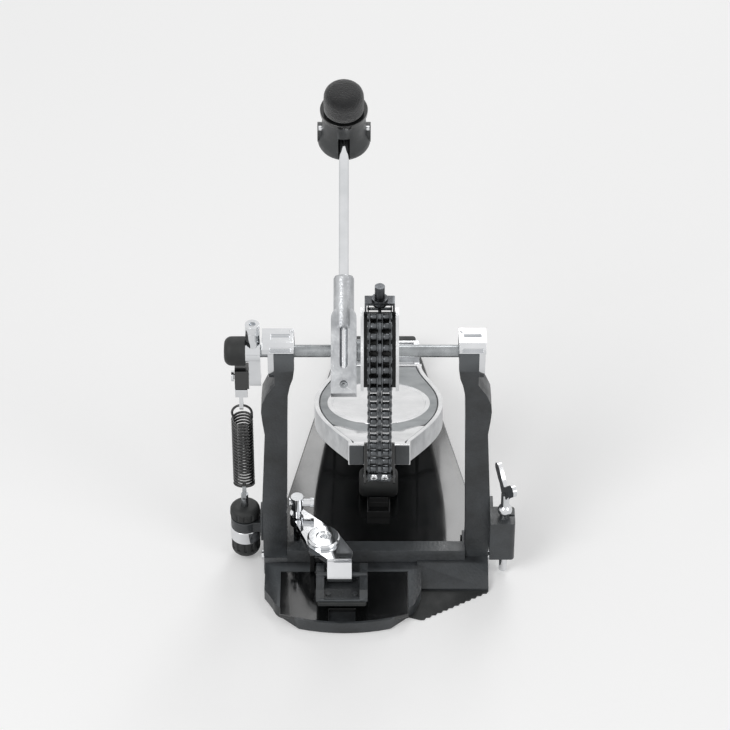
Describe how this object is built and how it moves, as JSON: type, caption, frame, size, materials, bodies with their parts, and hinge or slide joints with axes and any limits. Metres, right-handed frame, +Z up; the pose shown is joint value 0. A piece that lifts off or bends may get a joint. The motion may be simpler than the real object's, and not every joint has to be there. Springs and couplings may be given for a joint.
{
  "type": "bass drum pedal",
  "caption": "Bass drum pedal: cast frame on a folded floor plate, double chain over a cam, sprung axle, hinged footboard, round beater and hoop clamp.",
  "frame": {"origin": "on the floor, below the axle's centre line and in the footboard's middle plane", "axes": "+X to the right seen from the drum side (the picture's side), +Y from the axle towards the heel, +Z up"},
  "size_m": [0.2359, 0.362, 0.3879],
  "materials": {
    "hammertone": "gloss, hammered",
    "gloss_black": "gloss",
    "rubber_black": "matt",
    "chrome": "polished",
    "bearing_steel": "satin",
    "cast_silver": "satin, hammered",
    "board_grey": "satin",
    "polished": "polished",
    "chain_steel": "dark, oiled",
    "spring_wire": "gloss",
    "swivel_black": "satin",
    "head_plastic": "satin",
    "felt": "soft"
  },
  "bodies": {
    "frame": {"under_sheet": "rubber_black", "base_plate": "gloss_black", "pedestal": "hammertone", "tray_pad": "gloss_black", "left_post": "hammertone", "right_post": "hammertone", "post_bolts": "chrome", "left_cap": "chrome", "right_cap": "chrome", "left_bearing": "bearing_steel", "right_bearing": "bearing_steel", "bumper": "rubber_black", "bumper_cradle": "gloss_black", "heel_plate": "cast_silver", "heel_pad": "rubber_black", "heel_pin": "chrome", "eye_bolt": "bearing_steel", "spring_bracket": "gloss_black", "knob_sleeve": "chrome", "clamp_base": "gloss_black", "key_holder": "hammertone"},
    "board": {"footboard": "cast_silver", "board_field": "board_grey", "board_oval": "polished", "toe_cap": "gloss_black", "toe_bracket": "gloss_black"},
    "drive": {"axle": "chrome", "cam": "cast_silver", "cam_strip": "rubber_black", "cam_screw": "bearing_steel", "chain_anchor": "bearing_steel", "cam_chain": "chain_steel", "beater_holder": "hammertone", "holder_spacer": "chrome", "holder_screw": "bearing_steel", "spring_lever": "chrome", "lever_screw": "chrome", "end_cap": "rubber_black"},
    "pair_1": {"chain_link_1": "chain_steel", "chain_link_2": "chain_steel"},
    "pair_2": {"chain_link_3": "chain_steel", "chain_link_4": "chain_steel"},
    "run": {"chain_run": "chain_steel"},
    "rod": {"beater_shaft": "chrome"},
    "head": {"beater_body": "head_plastic", "beater_collar": "gloss_black", "beater_felt": "felt"},
    "swivel": {"swivel_block": "swivel_black", "swivel_hook": "chrome"},
    "coil": {"spring": "spring_wire"},
    "coil_top": {"spring_hook": "spring_wire"},
    "knob_up": {"upper_knob": "rubber_black"},
    "knob_low": {"lower_knob": "rubber_black"},
    "arm": {"clamp_lever": "cast_silver", "clamp_disc": "chrome"},
    "screw": {"t_screw": "chrome"},
    "bar": {"t_bar": "chrome"},
    "shoe": {"clamp_shoe": "swivel_black", "shoe_pad": "rubber_black"},
    "key": {"drum_key": "chrome"}
  },
  "joints": [
    {"name": "beater_swing", "type": "hinge", "parent": "frame", "child": "drive", "pos_m": [0, 0, 0.222], "axis": [1, 0, 0], "range_deg": [0, 50], "stiffness_Nm_per_rad": 1.2, "springref_deg": -40.11, "deforming": ["spring", "spring_hook"]},
    {"name": "footboard_press", "type": "hinge", "parent": "frame", "child": "board", "pos_m": [0, 0.218, 0.02], "axis": [1, 0, 0], "range_deg": [0, 8.5]},
    {"name": "chain_pair_1", "type": "hinge", "parent": "drive", "child": "pair_1", "pos_m": [0, -0.03229, 0.25189], "axis": [1, 0, 0], "range_deg": [-22.21, 0]},
    {"name": "chain_pair_2", "type": "hinge", "parent": "pair_1", "child": "pair_2", "pos_m": [0, -0.04139, 0.23693], "axis": [1, 0, 0], "range_deg": [-23.36, 0]},
    {"name": "chain_run", "type": "hinge", "parent": "pair_2", "child": "run", "pos_m": [0, -0.04394, 0.2196], "axis": [1, 0, 0], "range_deg": [-11.88, 0]},
    {"name": "head_tilt", "type": "hinge", "parent": "rod", "child": "head", "pos_m": [-0.0285, 0.13617, 0.34171], "axis": [1, 0, 0], "range_deg": [-2, 30]},
    {"name": "beater_height", "type": "slide", "parent": "drive", "child": "rod", "axis": [0, 0.788, 0.6157], "range_m": [-0.007, 0.03]},
    {"name": "spring_swivel", "type": "hinge", "parent": "drive", "child": "swivel", "pos_m": [-0.1114, 0, 0.196], "axis": [1, 0, 0], "range_deg": [-59.26, 0]},
    {"name": "spring_lean", "type": "hinge", "parent": "frame", "child": "coil", "pos_m": [-0.1114, 0, 0.0761], "axis": [1, 0, 0], "range_deg": [-9.06, 0]},
    {"name": "spring_stretch", "type": "slide", "parent": "coil", "child": "coil_top", "axis": [0, 0, 1], "range_m": [0, 0.01111]},
    {"name": "tension_knob", "type": "hinge", "parent": "frame", "child": "knob_up", "pos_m": [-0.1114, 0, 0.045], "axis": [0, 0, 1], "range_deg": [-180, 180]},
    {"name": "lock_knob", "type": "hinge", "parent": "frame", "child": "knob_low", "pos_m": [-0.1114, 0, 0.012], "axis": [0, 0, 1], "range_deg": [-180, 180]},
    {"name": "clamp_rock", "type": "hinge", "parent": "frame", "child": "arm", "pos_m": [-0.0458, -0.0318, 0.032], "axis": [1, 0, 0], "range_deg": [0, 6]},
    {"name": "clamp_screw", "type": "slide", "parent": "arm", "child": "screw", "axis": [0, 0, -1], "range_m": [0, 0.0036]},
    {"name": "screw_turn", "type": "hinge", "parent": "screw", "child": "bar", "pos_m": [-0.068, 0.001, 0.0575], "axis": [0, 0, 1], "range_deg": [-100, 100]},
    {"name": "shoe_tilt", "type": "hinge", "parent": "arm", "child": "shoe", "pos_m": [-0.0305, -0.062, 0.035], "axis": [1, 0, 0], "range_deg": [-8, 8]},
    {"name": "key_lift", "type": "slide", "parent": "frame", "child": "key", "axis": [0, 0, 1], "range_m": [0, 0.09]}
  ],
  "couplings": [
    {"joint": "footboard_press", "follows": "beater_swing", "ratio": 0.16587},
    {"joint": "chain_pair_1", "follows": "beater_swing", "ratio": -0.43612},
    {"joint": "chain_pair_2", "follows": "beater_swing", "ratio": -0.45916},
    {"joint": "chain_run", "follows": "beater_swing", "ratio": -0.22958},
    {"joint": "spring_swivel", "follows": "beater_swing", "ratio": -1.1753},
    {"joint": "spring_lean", "follows": "beater_swing", "ratio": -0.17529},
    {"joint": "spring_stretch", "follows": "beater_swing", "m_per_rad": 0.012392},
    {"joint": "clamp_screw", "follows": "clamp_rock", "m_per_rad": 0.0328}
  ]
}
